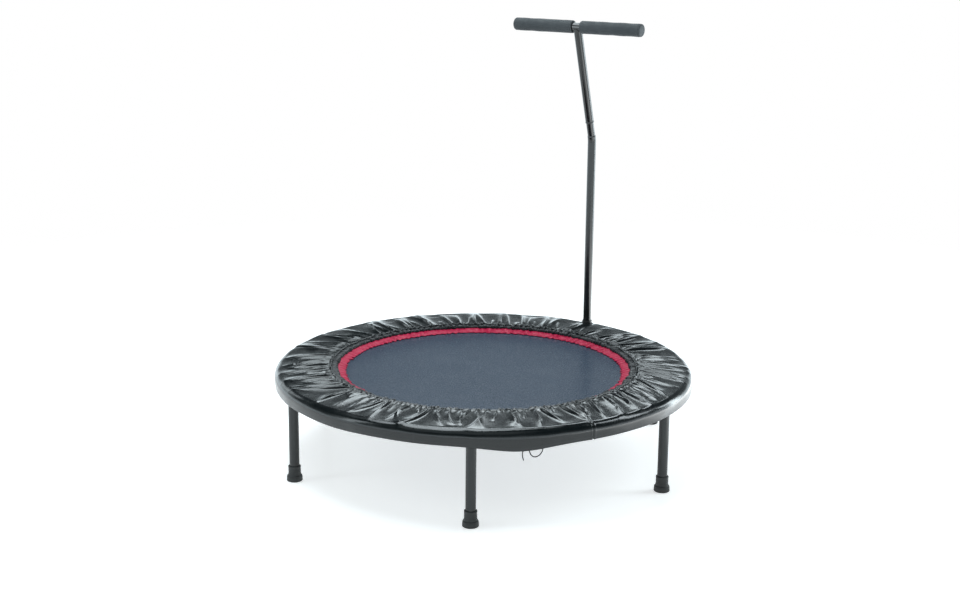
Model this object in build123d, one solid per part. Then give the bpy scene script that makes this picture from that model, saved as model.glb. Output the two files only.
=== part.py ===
from build123d import *
import os
from math import cos, radians, sin, sqrt, tan

# A mini trampoline: a round tube frame on six screw-in legs, a sprung mat inside it, a foam pad under
# a gathered cover, and a T-bar handle that stands on the frame between two legs.
# Millimetres. Origin on the floor at the middle of the ring, +Z up, the handle on +Y.

# ---- driving dimensions ----
FRAME_R = 502.0            # centreline of the round frame tube
FRAME_TUBE_D = 25.4
FRAME_WALL = 1.5
FRAME_Z = 205.0            # height of that centreline
JOINT_ANGLE = 30.0         # where the frame's two halves meet, and again opposite
SLEEVE_HALF = 3.4          # degrees each way from that joint
COVER_R = 517.0            # outside of the cover's skirt
COVER_TOP_Z = 226.0
COVER_BOTTOM_Z = 185.0
COVER_SHEET = 1.0
SHOULDER_R = 13.0

LEG_COUNT = 6
LEG_PHASE = 1.4            # the handle stands this many degrees off the middle of its gap between legs
LEG_D = 24.0
LEG_WALL = 1.2
LEG_TOP_Z = 189.0
FOOT_FLOOR = 6.0           # rubber under the leg's end
FOOT_H = 38.0
STUD_D = 10.0

SPRING_COUNT = 36
SPRING_Z = 211.2           # level of the springs and of the middle of the mat
SPRING_D = 11.0
SPRING_WIRE = 2.2
SPRING_HOLE_D = 5.0

MAT_R = 398.0
MAT_THICK = 1.2
WEBBING = 1.2
BORDER_WIDTH = 26.0

CASING_IN_R = 365.0        # inner edge of the pad, a ruched tunnel with an elastic in it
CASING_WIDTH = 15.0
CASING_H = 11.0
TRIM_IN_R = 343.0

POST_D = 22.2
POST_WALL = 1.2
BEND_Z = 732.0             # where the post leans over towards the mat
LEAN = 16.45               # degrees from upright
BEND_R = 60.0
NECK_D = 20.1              # reduced end of the post, which the stem slides on
STEM_ID = 20.2
STEM_START = 49.0          # from the bend, along the leaning axis, to the stem's lower end
NECK_END = 119.0
BAR_Z = 1033.0
BAR_D = 22.4
BAR_LENGTH = 371.0
GRIP_D = 33.0
GRIP_GAP = 24.0
HANDLE_LENGTH = 379.0

CORD_D = 2.5

RUN_GAP = 0.05             # radial clearance of parts that slide or plug together

FRAME_TUBE_R = FRAME_TUBE_D / 2
POST_FOOT_Z = FRAME_Z + FRAME_TUBE_R + 0.7
COVER_SIDE_IN = COVER_R - COVER_SHEET


# ---- helpers ----
def save(name, *solids):
    """Writes one node's STEP file."""
    shape = solids[0] if len(solids) == 1 else Compound(children=list(solids))
    shape.label = name
    export_step(shape, f"parts/{name}.step")


def around(solid, count, phase):
    """Copies of a solid made on the +X side, spread evenly about the Z axis."""
    return [Rot(0, 0, phase + 360 / count * k) * solid for k in range(count)]


def turned(outline):
    """A face or closed outline of (radius, height) points, revolved about the Z axis."""
    face = outline if isinstance(outline, (Face, Sketch)) else make_face(Polyline(outline, close=True))
    return revolve(Plane.XZ * face, Axis.Z)


def rod(start, end, diameter):
    """A round bar between two points."""
    a, b = Vector(*start), Vector(*end)
    return extrude(Plane(origin=a, z_dir=b - a) * Circle(diameter / 2), (b - a).length)


def pipe(path, diameter):
    """A round bar along a path."""
    return sweep(Plane(origin=path @ 0, z_dir=path % 0) * Circle(diameter / 2), path)


def upright(x, z_low, z_high, diameter):
    """A round bar that stands at (x, 0)."""
    return rod((x, 0, z_low), (x, 0, z_high), diameter)


# ---- frame and legs ----
def tube_arc(start, size, outer_r, inner_r):
    """A stretch of tube along the frame's circle, in degrees."""
    section = Pos(FRAME_R, FRAME_Z) * (Circle(outer_r) - Circle(inner_r))
    return Rot(0, 0, start) * revolve(Plane.XZ * section, Axis.Z, size)


def frame_half(start):
    """Half of the round frame, with holes for spring hooks, leg studs and the handle's bolt."""
    hook_hole = rod((FRAME_R - 16, 0, SPRING_Z), (FRAME_R - 6, 0, SPRING_Z), SPRING_HOLE_D)
    stud_hole = upright(FRAME_R, FRAME_Z - 16, FRAME_Z - 6, STUD_D + 0.6)
    bolt_hole = upright(FRAME_R, FRAME_Z - 16, FRAME_Z + 16, BOLT_D + 0.6)
    placed = [(180 / SPRING_COUNT + 360 / SPRING_COUNT * k, hook_hole) for k in range(SPRING_COUNT)]
    placed += [(LEG_PHASE + 360 / LEG_COUNT * k, stud_hole) for k in range(LEG_COUNT)]
    placed.append((90, bolt_hole))
    holes = [Rot(0, 0, angle) * hole for angle, hole in placed if (angle - start) % 360 < 180]
    return tube_arc(start, 180, FRAME_TUBE_R, FRAME_TUBE_R - FRAME_WALL) - holes


def frame_sleeve(joint_angle):
    """A short tube inside the joint of the two halves."""
    outer_r = FRAME_TUBE_R - FRAME_WALL - RUN_GAP
    return tube_arc(joint_angle - SLEEVE_HALF, 2 * SLEEVE_HALF, outer_r, outer_r - FRAME_WALL)


def leg_socket():
    """A boss welded under the tube, coped to it and bored for the leg's stud."""
    boss = upright(FRAME_R, LEG_TOP_Z, FRAME_Z - 5, 22)
    tube = Pos(0, 0, FRAME_Z) * Torus(FRAME_R, FRAME_TUBE_R)
    return boss - tube - upright(FRAME_R, LEG_TOP_Z, FRAME_Z, STUD_D + 2 * RUN_GAP)


def leg_stud():
    """A plug pressed into the leg's top, with the stud that screws into the socket."""
    plug = upright(FRAME_R, LEG_TOP_Z - 22, LEG_TOP_Z, LEG_D - 2 * LEG_WALL - 2 * RUN_GAP)
    return plug + upright(FRAME_R, LEG_TOP_Z, LEG_TOP_Z + 12, STUD_D)


def leg():
    outside = upright(FRAME_R, FOOT_FLOOR, LEG_TOP_Z, LEG_D)
    return outside - upright(FRAME_R, FOOT_FLOOR, LEG_TOP_Z, LEG_D - 2 * LEG_WALL)


def foot():
    """A rubber cup with a wide base and a tapered collar that grips the leg."""
    base_r, base_h = 19.0, 14.0
    bore_r = LEG_D / 2 + RUN_GAP
    outline = [
        (0, 0), (base_r - 1.5, 0), (base_r, 1.5), (base_r - 0.8, base_h - 1.5), (base_r - 2, base_h),
        (base_r - 3, base_h), (14.2, FOOT_H - 5), (14.9, FOOT_H - 4), (14.9, FOOT_H - 1),
        (13.9, FOOT_H), (bore_r, FOOT_H), (bore_r, FOOT_FLOOR), (0, FOOT_FLOOR),
    ]
    return Pos(FRAME_R, 0, 0) * turned(outline)


# ---- mat, rings and springs ----
MAT_TOP_Z = SPRING_Z + MAT_THICK / 2
BORDER_TOP_Z = MAT_TOP_Z + WEBBING
TAB_TOP_Z = BORDER_TOP_Z + WEBBING
RING_WIRE = 3.5
RING_BASE_R = MAT_R + 7.0   # centreline of the ring's straight bar, inside its tab
RING_APEX_R = RING_BASE_R + 22.0
HOOK_R = 5.0                # centreline of the spring's end loop
HOOK_AT = RING_APEX_R + 1.5
COIL_START = HOOK_AT + HOOK_R + 2.5
COIL_END = FRAME_R - 25.0


def mat():
    return Pos(0, 0, SPRING_Z) * Cylinder(MAT_R, MAT_THICK)


def mat_border():
    """Webbing folded over the mat's edge."""
    inner, outer = MAT_R - BORDER_WIDTH, MAT_R + WEBBING
    low = 2 * SPRING_Z - BORDER_TOP_Z
    mat_low = SPRING_Z - MAT_THICK / 2
    return turned([
        (inner, low), (outer, low), (outer, BORDER_TOP_Z), (inner, BORDER_TOP_Z),
        (inner, MAT_TOP_Z), (MAT_R, MAT_TOP_Z), (MAT_R, mat_low), (inner, mat_low),
    ])


def ring_tab():
    """A strip of webbing sewn over the border and looped round a ring's straight bar."""
    inner, width = MAT_R - BORDER_WIDTH + 4, 18.0
    half_out, half_in = TAB_TOP_Z - SPRING_Z, BORDER_TOP_Z - SPRING_Z
    length = RING_BASE_R - inner
    middle = Pos(inner + length / 2, SPRING_Z)
    outside = middle * Rectangle(length, 2 * half_out) + Pos(RING_BASE_R, SPRING_Z) * Circle(half_out)
    inside = middle * Rectangle(length, 2 * half_in) + Pos(RING_BASE_R, SPRING_Z) * Circle(half_in)
    return extrude(Plane.XZ * (outside - inside), width / 2, both=True)


def v_ring():
    """A closed wire triangle: its straight bar lies in the tab and its round nose in the spring's loop."""
    half_bar, bend_r = 15.0, 3.0
    nose = RING_APEX_R + 3.6
    corners = [(RING_BASE_R, half_bar), (nose, 0), (RING_BASE_R, -half_bar)]
    path = FilletPolyline(*corners, radius=bend_r, close=True)
    return pipe(Pos(0, 0, SPRING_Z) * path, RING_WIRE)


def spring():
    """One spring as its closed coil, with the loop over the ring and the hook into the frame."""
    coil = rod((COIL_START, 0, SPRING_Z), (COIL_END, 0, SPRING_Z), SPRING_D)
    loop = Pos(HOOK_AT, 0, SPRING_Z) * Rot(90, 0, 0) * Torus(HOOK_R, SPRING_WIRE / 2)
    neck = rod((HOOK_AT + HOOK_R, 0, SPRING_Z), (COIL_START + 1, 0, SPRING_Z), SPRING_WIRE)
    tip_r = FRAME_R - 7.0
    hook = FilletPolyline(
        (COIL_END - 1, 0, SPRING_Z), (tip_r, 0, SPRING_Z), (tip_r, 0, SPRING_Z - 7), radius=2.5
    )
    return coil + loop + neck + pipe(hook, SPRING_WIRE)


# ---- pad ----
CASING_OUT_R = CASING_IN_R + CASING_WIDTH
PAD_IN_R = CASING_OUT_R + 0.5
SHOULDER_AT = (COVER_R - SHOULDER_R, COVER_TOP_Z - SHOULDER_R)
POST_HOLE_D = 27.2
HEM_H = 6.0
HEM_THICK = 2.4


def shoulder(radius, start, size):
    """An arc about the cover's shoulder, with angles from the outside upwards."""
    return CenterArc(SHOULDER_AT, radius, start, size)


def post_hole():
    return Rot(0, 0, 90) * upright(FRAME_R, FRAME_Z + 5, COVER_TOP_Z + 5, POST_HOLE_D)


def foam_pad():
    """A flat ring of foam over the springs and the frame, rounded where the cover turns down."""
    low = FRAME_Z + FRAME_TUBE_R + 0.6
    foam_r = SHOULDER_R - COVER_SHEET - 0.3
    reach = sqrt(foam_r**2 - (low - SHOULDER_AT[1]) ** 2)
    edge = shoulder(foam_r, 90, -90)
    top = SHOULDER_AT[1] + foam_r
    block = make_face(Polyline(
        (PAD_IN_R, low), (SHOULDER_AT[0], low), (SHOULDER_AT[0], top), (PAD_IN_R, top), close=True
    ))
    quarter = make_face([edge, Polyline(edge @ 1, SHOULDER_AT, edge @ 0)])
    trim = Pos(SHOULDER_AT[0] + reach, low - 10) * Rectangle(4 * foam_r, 20)
    return turned(block + (quarter - trim)) - post_hole()


def pad_cover():
    """The cover's sheet: flat over the foam, round the shoulder, down the side to its hem."""
    hem_in = COVER_R - HEM_THICK
    hem_top = COVER_BOTTOM_Z + HEM_H
    inner_top = COVER_TOP_Z - COVER_SHEET
    outer_arc = shoulder(SHOULDER_R, 90, -90)
    inner_arc = shoulder(SHOULDER_R - COVER_SHEET, 0, 90)
    outline = [
        Line((PAD_IN_R, COVER_TOP_Z), outer_arc @ 0),
        outer_arc,
        Polyline(
            outer_arc @ 1, (COVER_R, COVER_BOTTOM_Z), (hem_in, COVER_BOTTOM_Z), (hem_in, hem_top),
            (COVER_SIDE_IN, hem_top), inner_arc @ 0,
        ),
        inner_arc,
        Polyline(inner_arc @ 1, (PAD_IN_R, inner_top), (PAD_IN_R, COVER_TOP_Z)),
    ]
    middle = Pos(COVER_R - HEM_THICK / 2, COVER_BOTTOM_Z + HEM_H / 2)
    tunnel = middle * Rectangle(1.0, HEM_H - 1.6)
    return turned(make_face(outline) - tunnel) - post_hole()


def hem_elastic():
    middle = Pos(COVER_R - HEM_THICK / 2, COVER_BOTTOM_Z + HEM_H / 2)
    return turned(middle * Rectangle(0.9, HEM_H - 1.8))


CASING_MIDDLE = (CASING_IN_R + CASING_WIDTH / 2, COVER_TOP_Z - CASING_H / 2)
CASING_ELASTIC = (8.0, 4.0)


def inner_casing():
    """The ruched tunnel at the pad's inner edge."""
    width, height = CASING_ELASTIC
    section = RectangleRounded(CASING_WIDTH, CASING_H, 3) - Rectangle(width + 0.2, height + 0.2)
    return turned(Pos(*CASING_MIDDLE) * section)


def casing_elastic():
    return turned(Pos(*CASING_MIDDLE) * Rectangle(*CASING_ELASTIC))


def edge_trim():
    """The red band that hangs from the casing and lies just over the mat."""
    low = MAT_TOP_Z + 0.5
    outer, rise, thick = CASING_IN_R - 0.3, 3.7, 1.0
    return turned([
        (TRIM_IN_R, low), (outer, low + rise), (outer, low + rise + thick), (TRIM_IN_R, low + thick),
    ])


# ---- tie of the hem's drawcord ----
CORD_R = 512.8             # the cord hangs in this cylinder, just inside the hem
CORD_AT = 317.3            # degrees round from +X, at the middle of the loop
# Sideways distance round the cylinder from the middle of the loop, and height.
CORD_ROUTE = [
    (17.0, 192.0), (17.3, 182.0), (14.5, 172.5), (7.0, 164.0), (-3.5, 162.0), (-11.2, 168.3), (-14.2, 178.0),
    (-19.3, 181.2), (-25.2, 180.4), (-29.3, 176.0), (-29.8, 169.0), (-28.6, 162.5), (-26.5, 156.0),
]


def cord_point(sideways, height):
    angle = radians(CORD_AT) + sideways / CORD_R
    return Vector(CORD_R * cos(angle), CORD_R * sin(angle), height)


def hem_cord():
    """The loop and free tail of the drawcord, below the hem."""
    points = [cord_point(*p) for p in CORD_ROUTE]
    runs = [b - a for a, b in zip(points, points[1:])]
    radii = []
    for a, b in zip(runs, runs[1:]):
        radii.append(0.45 * min(a.length, b.length) / tan(radians(a.get_angle(b)) / 2))
    print("hem cord radii", [round(r, 1) for r in radii])
    path = FilletPolyline(*points, radius=radii)
    print("hem cord length", round(path.length, 1))
    return pipe(path, CORD_D)


# ---- handle ----
BOLT_D = 8.0
SADDLE_D = 26.6
SADDLE_TOP_Z = 233.5
LEAN_DIR = Vector(0, -sin(radians(LEAN)), cos(radians(LEAN)))
BACK_DIR = Vector(0, cos(radians(LEAN)), sin(radians(LEAN)))
BEND = Vector(0, FRAME_R, BEND_Z)
BAR_ALONG = (BAR_Z - BEND_Z) / cos(radians(LEAN))
CONE_START = BEND_R * tan(radians(LEAN / 2)) + 0.6
CONE_END = CONE_START + 3.5
BUTTON_FROM_END = 25.0     # from the stem's lower end to its first button hole, and between its holes
BUTTON_ALONG = STEM_START + BUTTON_FROM_END
BUTTON_D = 5.6


def at_post(solid):
    """Turns a solid made on the +X side to the handle's place on +Y."""
    return Rot(0, 0, 90) * solid


def leaning(along):
    """A plane square to the leaning axis, that far from the bend."""
    return Plane(origin=BEND + LEAN_DIR * along, x_dir=(1, 0, 0), z_dir=LEAN_DIR)


def lean_rod(start, end, diameter):
    return extrude(leaning(start) * Circle(diameter / 2), end - start)


def button_hole(along):
    """A hole through the far wall of a leaning tube."""
    start = BEND + LEAN_DIR * along + BACK_DIR * 5
    return rod(start, start + BACK_DIR * 10, BUTTON_D + 0.6)


def handle_saddle():
    """A sleeve welded on top of the frame tube, which the post's foot stands in."""
    sleeve = upright(FRAME_R, FRAME_Z + 4, SADDLE_TOP_Z, SADDLE_D)
    sleeve -= upright(FRAME_R, FRAME_Z + 4, SADDLE_TOP_Z, POST_D + 0.2)
    return at_post(sleeve - Pos(0, 0, FRAME_Z) * Torus(FRAME_R, FRAME_TUBE_R))


def post_insert():
    """A threaded plug in the post's foot."""
    plug = upright(FRAME_R, POST_FOOT_Z, POST_FOOT_Z + 20, POST_D - 2 * POST_WALL - 2 * RUN_GAP)
    return at_post(plug - upright(FRAME_R, POST_FOOT_Z, POST_FOOT_Z + 20, BOLT_D + 2 * RUN_GAP))


WASHER_THICK = 1.6


def handle_washer():
    top = FRAME_Z - FRAME_TUBE_R
    disc = upright(FRAME_R, top - WASHER_THICK, top, 20)
    return at_post(disc - upright(FRAME_R, top - WASHER_THICK, top, BOLT_D + 0.6))


def handle_bolt():
    """The bolt that comes up through the frame tube into the post."""
    top = FRAME_Z - FRAME_TUBE_R - WASHER_THICK
    head = Pos(FRAME_R, 0, top - 5.3) * extrude(RegularPolygon(6.5, 6, major_radius=False), 5.3)
    return at_post(head + upright(FRAME_R, top, POST_FOOT_Z + 17, BOLT_D))


def post_tube(diameter_low, diameter_neck):
    """The outline of the post at one wall: upright, bent over, then reduced to the neck."""
    low = BEND + Vector(0, 0, POST_FOOT_Z - BEND_Z)
    bent = pipe(FilletPolyline(low, BEND, BEND + LEAN_DIR * CONE_START, radius=BEND_R), diameter_low)
    cone = loft([leaning(CONE_START) * Circle(diameter_low / 2), leaning(CONE_END) * Circle(diameter_neck / 2)])
    return bent + cone + lean_rod(CONE_END, NECK_END, diameter_neck)


def lower_post():
    bore = post_tube(POST_D - 2 * POST_WALL, NECK_D - 2 * POST_WALL)
    return post_tube(POST_D, NECK_D) - bore - button_hole(BUTTON_ALONG)


def button_clip():
    """A folded spring strip in the neck, with the button that holds the stem at its height."""
    strip_w, strip_t, half, reach = 6.0, 0.8, 7.6, 22.0
    side = Plane(origin=BEND + LEAN_DIR * BUTTON_ALONG, x_dir=BACK_DIR, z_dir=(1, 0, 0))
    toward = 1 if (side.y_dir.dot(LEAN_DIR)) > 0 else -1
    path = FilletPolyline(
        (half, 6 * toward), (half, -reach * toward), (-half, -reach * toward), (-half, 6 * toward),
        radius=6.0,
    )
    strip = extrude(side * trace(path, strip_t), strip_w / 2, both=True)
    middle = BEND + LEAN_DIR * BUTTON_ALONG
    button = rod(middle + BACK_DIR * half, middle + BACK_DIR * 11.2, BUTTON_D)
    dome = Pos(*(middle + BACK_DIR * 10.0)) * Sphere(BUTTON_D / 2)
    return strip + button + dome


def bar_axis():
    return BEND + LEAN_DIR * BAR_ALONG


def bar_rod(start_x, end_x, diameter):
    middle = bar_axis()
    return rod((start_x, middle.Y, middle.Z), (end_x, middle.Y, middle.Z), diameter)


def stem():
    """The leaning tube of the T-bar, coped to the crossbar, with two height holes."""
    tube = lean_rod(STEM_START, BAR_ALONG, POST_D) - lean_rod(STEM_START, BAR_ALONG, STEM_ID)
    holes = [button_hole(BUTTON_ALONG), button_hole(BUTTON_ALONG + BUTTON_FROM_END)]
    return tube - bar_rod(-20, 20, BAR_D) - holes


def crossbar():
    half = BAR_LENGTH / 2
    return bar_rod(-half, half, BAR_D) - bar_rod(-half, half, BAR_D - 2 * POST_WALL)


def grip(side):
    """A foam sleeve with a closed, rounded end; side is -1 or 1."""
    inner, outer = GRIP_GAP / 2 * side, HANDLE_LENGTH / 2 * side
    body = bar_rod(inner, outer, GRIP_D)
    round_over = [e for e in body.edges() if abs(abs(e.center().X) - abs(outer)) < 1 and e.geom_type == GeomType.CIRCLE]
    body = fillet(round_over, 3.0)
    return body - bar_rod(inner, BAR_LENGTH / 2 * side, BAR_D + 2 * RUN_GAP)


def main():
    os.makedirs("parts", exist_ok=True)
    save("frame_half_rear", frame_half(JOINT_ANGLE))
    save("frame_half_front", frame_half(JOINT_ANGLE + 180))
    save("frame_sleeves", frame_sleeve(JOINT_ANGLE), frame_sleeve(JOINT_ANGLE + 180))
    save("leg_sockets", *around(leg_socket(), LEG_COUNT, LEG_PHASE))
    save("leg_studs", *around(leg_stud(), LEG_COUNT, LEG_PHASE))
    for number, (one_leg, one_foot) in enumerate(
        zip(around(leg(), LEG_COUNT, LEG_PHASE), around(foot(), LEG_COUNT, LEG_PHASE)), 1
    ):
        save(f"leg_{number}", one_leg)
        save(f"foot_{number}", one_foot)
    save("mat", mat())
    save("mat_border", mat_border())
    half_pitch = 180 / SPRING_COUNT
    save("ring_tabs", *around(ring_tab(), SPRING_COUNT, half_pitch))
    save("v_rings", *around(v_ring(), SPRING_COUNT, half_pitch))
    save("springs", *around(spring(), SPRING_COUNT, half_pitch))
    save("foam_pad", foam_pad())
    save("pad_cover", pad_cover())
    save("hem_elastic", hem_elastic())
    save("inner_casing", inner_casing())
    save("casing_elastic", casing_elastic())
    save("edge_trim", edge_trim())
    save("hem_cord", hem_cord())
    save("handle_saddle", handle_saddle())
    save("post_insert", post_insert())
    save("handle_washer", handle_washer())
    save("handle_bolt", handle_bolt())
    save("lower_post", lower_post())
    save("button_clip", button_clip())
    save("stem", stem())
    save("crossbar", crossbar())
    save("grip_left", grip(-1))
    save("grip_right", grip(1))


main()
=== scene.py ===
import logging
import math
from dataclasses import dataclass, field
from enum import Enum

import bmesh
import bpy
import numpy as np
from mathutils import Matrix, Vector


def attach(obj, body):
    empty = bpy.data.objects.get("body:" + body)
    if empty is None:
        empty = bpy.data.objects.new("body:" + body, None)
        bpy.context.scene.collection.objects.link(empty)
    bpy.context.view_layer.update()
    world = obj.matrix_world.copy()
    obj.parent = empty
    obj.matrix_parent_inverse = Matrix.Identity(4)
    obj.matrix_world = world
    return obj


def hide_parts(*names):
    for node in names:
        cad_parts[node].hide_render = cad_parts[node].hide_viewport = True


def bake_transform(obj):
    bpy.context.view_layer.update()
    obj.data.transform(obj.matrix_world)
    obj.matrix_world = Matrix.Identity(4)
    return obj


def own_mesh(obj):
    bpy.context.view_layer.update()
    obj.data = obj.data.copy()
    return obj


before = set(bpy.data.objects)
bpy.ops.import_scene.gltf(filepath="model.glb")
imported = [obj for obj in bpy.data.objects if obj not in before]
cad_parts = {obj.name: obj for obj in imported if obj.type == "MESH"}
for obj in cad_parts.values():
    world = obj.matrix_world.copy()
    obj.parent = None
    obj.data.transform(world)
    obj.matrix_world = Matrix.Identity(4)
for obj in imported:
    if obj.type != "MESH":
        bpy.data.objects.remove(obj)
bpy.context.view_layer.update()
LOG = logging.getLogger("trampoline")

# Lengths are in metres, and the springs' angles are in degrees.
FRAME_R = 0.502
POST_AT = (0.0, FRAME_R)
POST_HOLE_R = 0.0134
SPRING_COUNT = 36
SPRING_STEP = 360.0 / SPRING_COUNT
FIRST_SPRING = 5.0
SPRING_Z = 0.2112
LEAN = math.radians(16.45)
LEAN_DIR = Vector((0.0, -math.sin(LEAN), math.cos(LEAN)))
BACK_DIR = Vector((0.0, math.cos(LEAN), math.sin(LEAN)))
BEND = Vector((0.0, FRAME_R, 0.732))
MERGE_GAP = 1e-6


class Body(str, Enum):
    """The bodies that pieces ride on."""

    FRAME = "frame"
    MAT = "mat"
    T_BAR = "t_bar"


class Slot(str, Enum):
    """The record's material slots."""

    FRAME_PAINT = "frame_paint"
    LEG_PAINT = "leg_paint"
    HANDLE_PAINT = "handle_paint"
    ZINC = "zinc_steel"
    MAT = "mat_fabric"
    WEBBING = "webbing"
    FOAM = "pad_foam"
    VINYL = "cover_vinyl"
    CASING = "casing_fabric"
    TRIM = "trim_satin"
    CORD = "elastic_cord"
    RUBBER = "foot_rubber"
    GRIP = "grip_foam"


# ---- node graphs ----
class Graph:
    """A thin wrapper round a node tree."""

    def __init__(self, tree: bpy.types.NodeTree) -> None:
        """Keeps the tree that nodes are added to."""
        self.tree = tree

    def add(self, kind: str, inputs: dict | None = None, **settings: object) -> bpy.types.Node:
        """Adds a node.

        Args:
            kind: The node's type name, without its ShaderNode prefix.
            inputs: Values or sockets for its inputs, by name or number.
            settings: Attributes of the node.

        Returns:
            The new node.
        """
        node = self.tree.nodes.new(kind if kind.startswith("Node") else f"ShaderNode{kind}")
        for name, value in settings.items():
            setattr(node, name, value)
        for name, value in (inputs or {}).items():
            self.feed(node.inputs[name], value)
        return node

    def feed(self, target: bpy.types.NodeSocket, value: object) -> None:
        """Sets an input to a value, or joins it to the socket that gives the value."""
        if isinstance(value, bpy.types.NodeSocket):
            self.tree.links.new(value, target)
        else:
            target.default_value = value

    def math(self, operation: str, a: object, b: object = 0.0) -> bpy.types.NodeSocket:
        """One maths operation's result."""
        return self.add("Math", {0: a, 1: b}, operation=operation).outputs[0]

    def ramp(
        self, value: bpy.types.NodeSocket, low: float, high: float, to_low: float, to_high: float
    ) -> bpy.types.NodeSocket:
        """A value moved from one range to another, smoothly."""
        inputs = {"Value": value, "From Min": low, "From Max": high, "To Min": to_low, "To Max": to_high}
        return self.add("MapRange", inputs, interpolation_type="SMOOTHSTEP").outputs["Result"]

    def mix(self, factor: object, a: object, b: object) -> bpy.types.NodeSocket:
        """A colour between two colours."""
        return self.add("Mix", {0: factor, 6: a, 7: b}, data_type="RGBA").outputs[2]


def emptied_graph(owner: bpy.types.Material | bpy.types.World) -> Graph:
    """The node tree of a material or a world, with nothing in it."""
    owner.use_nodes = True
    owner.node_tree.nodes.clear()
    return Graph(owner.node_tree)


class SharedEffects:
    """Node groups that several finishes use, each built once."""

    made: dict[str, bpy.types.NodeTree] = {}

    @classmethod
    def _group(
        cls, name: str, inputs: list[tuple[str, str, object]], outputs: list[tuple[str, str]]
    ) -> tuple[bpy.types.NodeTree, Graph, bpy.types.Node, bpy.types.Node]:
        """A new group with its sockets, as (tree, graph, input node, output node)."""
        tree = bpy.data.node_groups.new(name, "ShaderNodeTree")
        for label, kind, default in inputs:
            socket = tree.interface.new_socket(name=label, in_out="INPUT", socket_type=kind)
            if default is not None:
                socket.default_value = default
        for label, kind in outputs:
            tree.interface.new_socket(name=label, in_out="OUTPUT", socket_type=kind)
        graph = Graph(tree)
        cls.made[name] = tree
        return tree, graph, graph.add("NodeGroupInput"), graph.add("NodeGroupOutput")

    @classmethod
    def grain(cls) -> bpy.types.NodeTree:
        """Fine and coarse noise for uneven roughness and height."""
        if "Grain" in cls.made:
            return cls.made["Grain"]
        tree, g, start, end = cls._group(
            "Grain",
            [("Vector", "NodeSocketVector", None), ("Scale", "NodeSocketFloat", 400.0)],
            [("Fine", "NodeSocketFloat"), ("Patches", "NodeSocketFloat")],
        )
        where, scale = start.outputs[0], start.outputs[1]
        fine = g.add("TexNoise", {"Vector": where, "Scale": scale, "Detail": 4.0, "Roughness": 0.6})
        broad = g.math("MULTIPLY", scale, 0.04)
        patches = g.add("TexNoise", {"Vector": where, "Scale": broad, "Detail": 3.0})
        g.feed(end.inputs[0], fine.outputs["Fac"])
        g.feed(end.inputs[1], patches.outputs["Fac"])
        return tree

    @classmethod
    def weave(cls) -> bpy.types.NodeTree:
        """Threads that cross at right angles, as a height and a mask of one of the two directions."""
        if "Weave" in cls.made:
            return cls.made["Weave"]
        tree, g, start, end = cls._group(
            "Weave",
            [("Vector", "NodeSocketVector", None), ("Threads", "NodeSocketFloat", 600.0)],
            [("Height", "NodeSocketFloat"), ("Over", "NodeSocketFloat")],
        )
        axes = g.add("SeparateXYZ", {0: start.outputs[0]})
        turns = [g.math("MULTIPLY", axes.outputs[k], start.outputs[1]) for k in (0, 1)]
        waves = [g.math("ABSOLUTE", g.math("SINE", turn)) for turn in turns]
        both = g.math("MULTIPLY", g.math("SINE", turns[0]), g.math("SINE", turns[1]))
        over = g.math("GREATER_THAN", both, 0.0)
        low = g.math("MULTIPLY", waves[0], g.math("SUBTRACT", 1.0, over))
        height = g.math("ADD", g.math("MULTIPLY", waves[1], over), low)
        g.feed(end.inputs[0], height)
        g.feed(end.inputs[1], over)
        return tree

    @classmethod
    def settled_dust(cls) -> bpy.types.NodeTree:
        """A faint mask on faces that look up, broken up by noise."""
        if "SettledDust" in cls.made:
            return cls.made["SettledDust"]
        tree, g, start, end = cls._group(
            "SettledDust",
            [("Vector", "NodeSocketVector", None), ("Amount", "NodeSocketFloat", 0.2)],
            [("Mask", "NodeSocketFloat")],
        )
        up = g.add("SeparateXYZ", {0: g.add("NewGeometry").outputs["Normal"]}).outputs[2]
        noise = {"Vector": start.outputs[0], "Scale": 55.0, "Detail": 6.0, "Roughness": 0.7}
        specks = g.add("TexNoise", noise)
        broken = g.ramp(specks.outputs["Fac"], 0.42, 0.68, 0.0, 1.0)
        facing = g.ramp(up, 0.2, 0.95, 0.0, 1.0)
        mask = g.math("MULTIPLY", g.math("MULTIPLY", broken, facing), start.outputs[1])
        g.feed(end.inputs[0], mask)
        return tree

    @classmethod
    def edge_wear(cls) -> bpy.types.NodeTree:
        """A mask along sharp convex edges, broken up by noise."""
        if "EdgeWear" in cls.made:
            return cls.made["EdgeWear"]
        tree, g, start, end = cls._group(
            "EdgeWear",
            [
                ("Vector", "NodeSocketVector", None),
                ("Low", "NodeSocketFloat", 0.66),
                ("High", "NodeSocketFloat", 0.85),
            ],
            [("Mask", "NodeSocketFloat")],
        )
        point = g.add("NewGeometry").outputs["Pointiness"]
        limits = {"Value": point, "From Min": start.outputs[1], "From Max": start.outputs[2]}
        edges = g.add("MapRange", limits).outputs["Result"]
        scratch = g.add("TexNoise", {"Vector": start.outputs[0], "Scale": 260.0, "Detail": 5.0})
        broken = g.ramp(scratch.outputs["Fac"], 0.4, 0.6, 0.0, 1.0)
        g.feed(end.inputs[0], g.math("MULTIPLY", edges, broken))
        return tree


def rgba(colour: tuple[float, float, float]) -> tuple[float, float, float, float]:
    """A colour with full alpha."""
    return (*colour, 1.0)


PAINT_DUST = (0.25, 0.25, 0.25, 1.0)
RUBBER_DUST = (0.22, 0.21, 0.2, 1.0)
VINYL_DUST = (0.3, 0.32, 0.33, 1.0)
CLOTH_LINT = (0.4, 0.4, 0.4, 1.0)


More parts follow.
